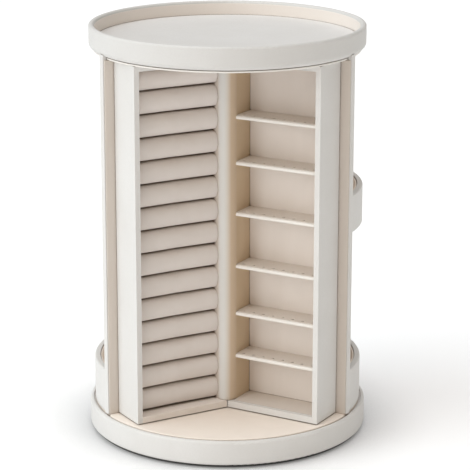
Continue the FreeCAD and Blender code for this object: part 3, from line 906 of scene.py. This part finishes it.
@dataclass
class FrontBox(Assembly):
    """What the two front boxes share: a leather frame, a velvet lining and a velvet back."""

    wall: Wall
    name: str
    inner_finish: Finish
    leather_rail: bool = True
    edge_round: float = 1.2 * MM
    rear_round: float = 0.9 * MM
    reveal: float = 0.6 * MM
    floor_gap: float = 0.9 * MM
    corner_gap: float = 0.25 * MM
    foot_round: float = 0.9 * MM
    rail_round: float = 3.8 * MM
    plane_slack: float = 0.05 * MM
    lining: float = 0.35 * MM
    lining_round: float = 0.12 * MM
    front_setback: float = 2.0 * MM
    post_gap: float = 0.2 * MM
    back_round: float = 0.8 * MM

    def build(self) -> None:
        """Wrap the frame and line it."""
        self.add(self.covered(), CREAM_LEATHER, self.name + "_shell")
        self.add(self.inner_side(), self.inner_finish)
        self.add(self.lined(), BEIGE_VELVET)
        self.wrap(self.name + "_back", self.name + "_back_velvet", self.back_round, BACK_VELVET)

    def outside(self) -> Span:
        """The room of the frame, a hair off the wall, the floor and the other box."""
        shell = self.wall.span(self.name + "_shell")
        return Span((shell.along[0] + self.corner_gap, shell.along[1]),
                    (shell.off[0] + self.reveal, shell.off[1]), (shell.up[0] + self.floor_gap, shell.up[1]))

    def inside(self) -> Span:
        """The clear inside of the box, in front of its back."""
        back, shell = self.wall.span(self.name + "_back"), self.wall.span(self.name + "_shell")
        return Span(back.along, (back.off[1], shell.off[1]), back.up)

    def rounding(self, first: Vector, last: Vector) -> float:
        """How round an edge of the frame is, by where it lies.

        Args:
            first: One end of the edge in the wall's coordinates.
            last: Its other end.

        Returns:
            Its rounding.
        """
        outside, floor = self.outside(), self.inside().up[0]

        def both(axis: int, plane: float) -> bool:
            """Whether the edge lies in a plane."""
            return max(abs(first[axis] - plane), abs(last[axis] - plane)) < self.plane_slack

        if both(1, outside.off[0]):
            return self.rear_round
        if both(2, outside.up[0]):
            return self.foot_round
        if both(2, floor) and both(1, outside.off[1]):
            return self.rail_round
        return self.edge_round

    def contour(self) -> list[FlatPoint]:
        """The frame seen from the front: top, outer upright and a rail along the bottom.

        Returns:
            Its corners along the wall and up.
        """
        outside, inside = self.outside(), self.inside()
        start, end = outside.along
        low, high = outside.up
        return [(start, low), (end, low), (end, high), (start, high), (start, inside.up[1]),
                (inside.along[1], inside.up[1]), (inside.along[1], inside.up[0]), (start, inside.up[0])]

    def covered(self) -> Piece:
        """The frame in its leather, with the upright beside the corner post.

        Returns:
            The piece.
        """
        outside, inside = self.outside(), self.inside()
        skin = Skin().loft([[(along, off, up) for along, up in self.contour()] for off in outside.off])
        skin.slab((outside.along[0], inside.along[0]), (outside.off[0], self.post_flank()), inside.up)
        return skin.soften_each(self.rounding).piece(self.name + "_frame", self.wall.matrix())

    def post_flank(self) -> float:
        """How far off the wall the corner post starts on the inner side of the box."""
        back = -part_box("corner_post")[0].y - CornerPost.nose_height()
        return (back - self.inside().along[0] * SIN_30) / COS_30

    def inner_side(self) -> Piece:
        """The velvet on the side next to the corner post.

        Returns:
            The piece.
        """
        room = self.inside()
        inner = room.along[0]
        front = self.post_flank() - self.post_gap
        skin = Skin().slab((inner, inner + self.lining), (room.off[0], front), room.up)
        return skin.soften(self.lining_round, segments=2).piece(self.name + "_inner_side", self.wall.matrix())

    def lined(self) -> Piece:
        """The velvet on the outer side and the top of the frame, and on the bottom behind a leather rail.

        Returns:
            The piece.
        """
        room = self.inside()
        thick = self.lining
        front, behind_rail = room.off[1] - self.front_setback, room.off[1] - self.rail_round
        inner, outer = room.along
        low, high = room.up
        between = (inner + thick, outer - thick - self.lining_round)
        skin = Skin().slab((outer - thick, outer), (room.off[0], front), room.up)
        skin.slab(between, (room.off[0], front), (high - thick, high))
        if self.leather_rail:
            skin.slab(between, (room.off[0], behind_rail), (low, low + thick))
        return skin.soften(self.lining_round, segments=2).piece(self.name + "_lining", self.wall.matrix())


@dataclass
class RingBox(FrontBox):
    """The box of foam rolls that rings stand between."""

    roll_count: int = 15
    swell_room: float = 0.4 * MM
    end_spare: float = 2.4 * MM
    crown_depth: float = 6.6 * MM
    crown_steps: int = 18
    stations: int = 28
    dent: float = 0.22 * MM
    dent_length: float = 28.0 * MM
    dent_step: float = 0.37
    stuffing: Stuffing = Stuffing()

    def build(self) -> None:
        """Build the box, then its rolls from one stuffed roll."""
        super().build()
        self.add(self.sill(), BACK_VELVET)
        first = self.wall.span("ring_roll_01")
        model = self.stuffed(first)
        for index in range(self.roll_count):
            node = "ring_roll_%02d" % (index + 1)
            lift = self.wall.span(node).up[0] - first.up[0]
            roll = self.add(self.copied(model, index, lift), ROLL_VELVET, node)
        bpy.data.meshes.remove(model)

    def contour(self) -> list[FlatPoint]:
        """The frame seen from the front: top and outer upright, without the velvet sill.

        Returns:
            Its corners along the wall and up.
        """
        outside, inside = self.outside(), self.inside()
        start, end = outside.along
        low, high = outside.up
        inner, ceiling = inside.along[1], inside.up[1]
        return [(inner, low), (end, low), (end, high), (start, high), (start, ceiling), (inner, ceiling)]

    def sill(self) -> Piece:
        """The velvet-covered sill under the lowest roll, round along its front.

        Returns:
            The piece.
        """
        outside, inside = self.outside(), self.inside()
        skin = Skin().slab((outside.along[0], inside.along[1]), outside.off, (outside.up[0], inside.up[0]))
        return skin.soften_each(self.rounding).piece("ring_box_sill", self.wall.matrix())

    def outline(self, room: Span) -> list[FlatPoint]:
        """Section of a roll before it swells: flat behind and crowned in front.

        Args:
            room: The room of the roll.

        Returns:
            Points off the wall and up.
        """
        back, crest = room.off[0], room.off[1] - self.swell_room
        low, high = room.up[0] + self.swell_room, room.up[1] - self.swell_room
        middle, half = (low + high) / 2, (high - low) / 2
        shoulder = crest - self.crown_depth
        turns = [math.pi * index / self.crown_steps - math.pi / 2 for index in range(self.crown_steps + 1)]
        crown = [(shoulder + self.crown_depth * math.cos(turn), middle + half * math.sin(turn))
                 for turn in turns]
        return [(back, low)] + crown + [(back, high)]

    def stuffed(self, room: Span) -> bpy.types.Mesh:
        """The lowest roll in the wall's coordinates, swollen under its velvet.

        Args:
            room: The room of the roll.

        Returns:
            Its mesh.
        """
        start, end = room.along[0] - self.end_spare, room.along[1] + self.end_spare
        places = [start + (end - start) * station / self.stations for station in range(self.stations + 1)]
        section = self.outline(room)
        rings = [[(place, off, up) for off, up in section] for place in places]
        piece = Skin().loft(rings).piece("roll_model")
        self.stuffing.swell(piece, lambda point: point.y < room.off[0] + self.stuffing.voxel)
        data = piece.data
        bpy.data.objects.remove(piece)
        self.trim(data, room)
        return data

    @staticmethod
    def trim(data: bpy.types.Mesh, room: Span) -> None:
        """Cut a roll square at both ends and hold it inside its room.

        Args:
            data: The roll's mesh.
            room: The room of the roll.
        """
        mesh = bmesh.new()
        mesh.from_mesh(data)
        for place, outward in zip(room.along, (-1.0, 1.0)):
            cut = bmesh.ops.bisect_plane(mesh, geom=[*mesh.verts, *mesh.edges, *mesh.faces], clear_outer=True,
                                         plane_co=(place, 0.0, 0.0), plane_no=(outward, 0.0, 0.0))
            rim = [part for part in cut["geom_cut"] if isinstance(part, bmesh.types.BMEdge)]
            bmesh.ops.edgeloop_fill(mesh, edges=rim)
        for vertex in mesh.verts:
            vertex.co.y = max(room.off[0], min(room.off[1], vertex.co.y))
            vertex.co.z = max(room.up[0], min(room.up[1], vertex.co.z))
        mesh.to_mesh(data)
        mesh.free()

    def copied(self, model: bpy.types.Mesh, index: int, lift: float) -> Piece:
        """One roll of the stack, with its own slight dents.

        Args:
            model: The stuffed roll.
            index: Which roll it is, from the lowest.
            lift: Its height above the lowest roll.

        Returns:
            The piece.
        """
        data = model.copy()
        for vertex in data.vertices:
            spot = Vector((vertex.co.x / self.dent_length, self.dent_step * index,
                           vertex.co.z / self.dent_length))
            vertex.co.y += self.dent * (noise.noise(spot) - DENT_SHIFT)
            vertex.co.z += lift
        data.transform(self.wall.matrix())
        roll = placed("ring_roll_velvet_%02d" % (index + 1), data)
        roll.modifiers.clear()
        return roll


@dataclass
class EarringBox(FrontBox):
    """The box of shelves with a row of earring holes in each."""

    reveal: float = 0.9 * MM
    shelf_count: int = 6
    hole_count: int = 8
    hole_radius: float = 1.1 * MM
    hole_setback: float = 4.0 * MM
    hole_margin: float = 5.5 * MM
    hole_points: int = 20
    velvet_round: float = 0.12 * MM

    def build(self) -> None:
        """Build the box, then dress its shelves."""
        super().build()
        shelves = ["earring_shelf_%d" % (index + 1) for index in range(self.shelf_count)]
        self.dress(SHELF_LEATHER, *shelves)
        skin = Skin()
        for shelf in shelves:
            self.cover(skin, self.wall.span(shelf))
        velvet = skin.piece("earring_shelf_velvet", self.wall.matrix())
        self.add(velvet, BEIGE_VELVET, "earring_shelf_linings")

    def outlines(self, shelf: Span, depth: Range) -> list[list[FlatPoint]]:
        """The edge of a shelf's velvet and of each hole in it, seen from above.

        Args:
            shelf: The room of the shelf.
            depth: Where the velvet starts and ends off the wall.

        Returns:
            Each outline, as points along the wall and off it.
        """
        (left, right), (back, front) = shelf.along, depth
        first, last = left + self.hole_margin, right - self.hole_margin
        row = shelf.off[1] - self.hole_setback
        turns = [math.tau * index / self.hole_points for index in range(self.hole_points)]
        edges = [[(left, back), (right, back), (right, front), (left, front)]]
        for index in range(self.hole_count):
            middle = first + (last - first) * index / (self.hole_count - 1)
            edges.append([(middle + self.hole_radius * math.cos(turn),
                           row + self.hole_radius * math.sin(turn)) for turn in turns])
        return edges

    def cover(self, skin: Skin, shelf: Span) -> None:
        """Add the velvet of one shelf, with the holes cut through it.

        Args:
            skin: The mesh that it joins.
            shelf: The room of the shelf.
        """
        sheet = self.wall.span("earring_shelf_linings")
        thick = sheet.up[1] - self.wall.span("earring_shelf_%d" % self.shelf_count).up[1]
        curve = bpy.data.curves.new("shelf_cut", "CURVE")
        curve.dimensions = "2D"
        curve.fill_mode = "BOTH"
        curve.extrude = thick / 2 - self.velvet_round
        curve.bevel_depth = self.velvet_round
        curve.offset = -self.velvet_round
        for outline in self.outlines(shelf, sheet.off):
            spline = curve.splines.new("POLY")
            spline.points.add(len(outline) - 1)
            for point, (along, off) in zip(spline.points, outline):
                point.co = (along, off, 0.0, 1.0)
            spline.use_cyclic_u = True
        cutter = bpy.data.objects.new("shelf_cut", curve)
        data = bpy.data.meshes.new_from_object(cutter)
        data.transform(Matrix.Translation((0.0, 0.0, shelf.up[1] + thick / 2)))
        skin.mesh.from_mesh(data)
        bpy.data.objects.remove(cutter)
        bpy.data.meshes.remove(data)


@dataclass
class CornerPost(Assembly):
    """The padded post between the two front boxes."""

    arc_start: float = -150.0
    arc_turn: float = 120.0
    arc_steps: int = 28
    levels: int = 60
    end_draw: float = 0.5 * MM
    end_length: float = 2.5 * MM
    ripple: float = 0.06 * MM
    ripple_length: float = 14.0 * MM

    @staticmethod
    def nose_radius() -> float:
        """Radius of the nose, an arc of 120 degrees that runs into the inner sides of both boxes."""
        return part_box("corner_post")[1].x / COS_30

    @staticmethod
    def nose_height() -> float:
        """How far the nose stands out from its flat back."""
        return CornerPost.nose_radius() * (1 - SIN_30)

    def build(self) -> None:
        """Build the post as a stack of sections that draw in at both ends."""
        low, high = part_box("corner_post")
        rings = []
        for level in range(self.levels + 1):
            share = (1 - math.cos(math.pi * level / self.levels)) / 2
            height = low.z + (high.z - low.z) * share
            depth = min(1.0, min(height - low.z, high.z - height) / self.end_length)
            draw = self.end_draw * (1 - depth) ** 2
            rings.append(self.section(low.y, height, draw))
        post = self.add(Skin().loft(rings).piece("corner_post_velvet"), POST_VELVET, "corner_post")

    def section(self, tip: float, height: float, draw: float) -> list[Point]:
        """One level section of the post.

        Args:
            tip: Where the nose ends towards the front.
            height: Height of the section.
            draw: How far it is drawn in.

        Returns:
            Its points.
        """
        radius = self.nose_radius()
        middle = tip + radius
        points = []
        for step in range(self.arc_steps + 1):
            turn = math.radians(self.arc_start + self.arc_turn * step / self.arc_steps)
            spot = Vector((turn, height / self.ripple_length, 0.0))
            reach = radius - draw + self.ripple * (noise.noise(spot) - DENT_SHIFT)
            points.append((reach * math.cos(turn), middle + reach * math.sin(turn), height))
        return points


@dataclass
class Top(Assembly):
    """The board on the walls and the tray on top of it."""

    board_round: float = 0.3 * MM
    groove_height: float = 0.4 * MM
    groove_depth: float = 2.0 * MM
    edge_steps: int = 4
    segments: int = 256
    floor_round: float = 1.0 * MM
    lining_gap: float = 0.02 * MM
    lining: float = 0.3 * MM
    lining_round: float = 0.12 * MM
    lip: float = 1.9 * MM

    def build(self) -> None:
        """Dress and line the tray and wrap the board."""
        # The rim is dressed in leather darkened as painted shade
        self.dress(SHADED_TRAY_LEATHER, "tray_rim")
        self.add(self.lined(), BOUNCE_PAINTED_LEATHER)
        self.wrap("tray_floor", "tray_floor_leather", self.floor_round, CREAM_LEATHER)
        self.add(self.board(), SHELF_LEATHER, "top_board")

    def lined(self) -> Piece:
        """The leather glued round the inside of the rim, from the tray floor up to the lip, warm and pale
        with painted light bounced off the tray floor.

        Returns:
            The piece.
        """
        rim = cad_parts["tray_rim"].data.vertices
        low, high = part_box("tray_floor")[1].z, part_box("tray_rim")[1].z - self.lip
        outer = min(vertex.co.xy.length for vertex in rim if vertex.co.z > low) - self.lining_gap
        inner = outer - self.lining
        profile = [(outer, low), (outer, high), (inner + self.lining_round, high),
                   (inner, high - self.lining_round), (inner, low), (outer, low)]
        skin = Skin().loft(lathe(profile, self.segments), capped=False)
        bmesh.ops.remove_doubles(skin.mesh, verts=skin.mesh.verts, dist=WELD_DISTANCE)
        return skin.piece("tray_rim_lining")

    def board(self) -> Piece:
        """The top board, whose edge stands out between two shadow grooves.

        Returns:
            The piece.
        """
        low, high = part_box("top_board")
        core, middle = high.x - self.groove_depth, high.x - self.board_round
        bottom, top = low.z + self.groove_height, high.z - self.groove_height
        turns = [math.pi / 2 * index / self.edge_steps for index in range(self.edge_steps + 1)]
        under = [(middle + self.board_round * math.sin(turn),
                  bottom + self.board_round * (1 - math.cos(turn))) for turn in turns]
        over = [(radius, bottom + top - height) for radius, height in reversed(under)]
        profile = [(core, low.z), (core, bottom), *under, *over, (core, top), (core, high.z)]
        return Skin().loft(lathe(profile, self.segments)).piece("top_board_leather")


@dataclass
class PullOutTray(Assembly):
    """A curved tray that slides out of a rear sector, with its velvet cup."""

    body: Body
    rim_round: float = 1.4 * MM
    cup_round: float = 0.5 * MM

    def build(self) -> None:
        """Wrap the tray and line it."""
        name = self.body.value
        self.wrap(name + "_box", name + "_leather", self.rim_round, CREAM_LEATHER)
        self.wrap(name + "_liner", name + "_velvet", self.cup_round, FLOOR_VELVET)


@dataclass
class RearSectors(Assembly):
    """What stays in the rear sectors: shelf, runners and necklace hooks."""

    shelf_round: float = 0.6 * MM

    def build(self) -> None:
        """Dress the shelf, the runners, the rail and its hooks."""
        self.wrap("middle_shelf", "middle_shelf_leather", self.shelf_round, CREAM_LEATHER)
        self.dress(WHITE_NYLON, "drawer_runners")
        self.dress(CREAM_LEATHER, "necklace_rail")
        self.dress(GOLD_BRASS, "necklace_hooks")


@dataclass(frozen=True)
class Lamp:
    """A soft lamp far away, by where its light comes from."""

    name: str
    turn: float
    rise: float
    strength: float
    softness: float
    colour: Colour = (1.0, 1.0, 1.0)

    def hang(self) -> None:
        """Put the lamp in the scene."""
        light = bpy.data.lights.new(self.name, "SUN")
        light.energy = self.strength
        light.color = self.colour
        light.angle = math.radians(self.softness)
        lamp = bpy.data.objects.new(self.name, light)
        lamp.rotation_euler = (math.radians(90.0 - self.rise), 0.0, math.radians(self.turn))
        bpy.context.scene.collection.objects.link(lamp)


@dataclass
class Studio:
    """Pale floor, soft light from the left and the camera."""

    floor_half: float = 8.0
    camera_place: Point = (0.0, -1.5133, 0.5672)
    camera_pitch: float = 0.2708
    camera_lens: float = 159.5
    camera_shift: float = 0.0162
    sensor: float = 36.0
    sky: float = 0.23
    sky_colour: Colour = (1.0, 0.98, 0.88)
    lamps: tuple[Lamp, ...] = (
        Lamp("key", -72.0, 30.0, 1.32, 60.0, (0.86, 1.0, 1.07)),
        Lamp("fill", -42.0, 28.0, 0.46, 60.0, (1.2, 0.97, 0.85)),
        Lamp("above", 0.0, 90.0, 1.5, 70.0, (0.97, 0.98, 1.05)),
        Lamp("front_top", -10.0, 55.0, 0.2, 80.0, (1.15, 1.0, 0.7)),
        Lamp("right", 65.0, 15.0, 0.15, 90.0, (1.15, 1.0, 0.75)),
    )

    def build(self) -> None:
        """Set up the floor, the lights and the camera."""
        self.lay_floor()
        self.light()
        self.aim()

    def lay_floor(self) -> None:
        """Lay the floor that the organizer stands on."""
        half = self.floor_half
        data = bpy.data.meshes.new("studio_floor")
        data.from_pydata([(-half, -half, 0.0), (half, -half, 0.0), (half, half, 0.0), (-half, half, 0.0)],
                         [], [(0, 1, 2, 3)])
        floor = bpy.data.objects.new("studio_floor", data)
        bpy.context.scene.collection.objects.link(floor)
        data.materials.append(material_of(PALE_TABLE))

    def light(self) -> None:
        """Light the surroundings and hang the lamps."""
        world = bpy.data.worlds.new("studio")
        world.use_nodes = True
        sky = world.node_tree.nodes["Background"]
        sky.inputs["Color"].default_value = (*self.sky_colour, 1.0)
        sky.inputs["Strength"].default_value = self.sky
        bpy.context.scene.world = world
        for lamp in self.lamps:
            lamp.hang()

    def aim(self) -> None:
        """Stand the camera where the photograph was taken from."""
        lens = bpy.data.cameras.new("camera")
        lens.sensor_width = self.sensor
        lens.lens = self.camera_lens
        lens.shift_x = self.camera_shift
        camera = bpy.data.objects.new("camera", lens)
        camera.location = self.camera_place
        camera.rotation_euler = (math.pi / 2 - self.camera_pitch, 0.0, 0.0)
        bpy.context.scene.collection.objects.link(camera)
        bpy.context.scene.camera = camera
        bpy.context.scene.view_settings.view_transform = "Standard"


def sub_assemblies() -> Iterator[Assembly]:
    """Make the sub-assemblies in the order in which they are put together.

    Yields:
        Each sub-assembly.
    """
    left, right = Wall(Side.LEFT), Wall(Side.RIGHT)
    yield Turntable()
    yield Base()
    yield Partition()
    yield RingBox(left, "ring_box", BEIGE_VELVET, leather_rail=False)
    # The earring box's inner side gets the velvet with painted shade
    yield EarringBox(right, "earring_box", SHADE_PAINTED_VELVET)
    yield CornerPost()
    yield Top()
    for body in (Body.LEFT_DRAWER, Body.RIGHT_DRAWER, Body.MIDDLE_DRAWER):
        yield PullOutTray(body)
    yield RearSectors()


def main() -> None:
    """Build every sub-assembly, then the studio around it."""
    logging.basicConfig(level=logging.INFO, format="%(name)s %(message)s")
    for assembly in sub_assemblies():
        log.info("building %s", type(assembly).__name__)
        assembly.build()
    Studio().build()


if __name__ == "__main__":
    main()
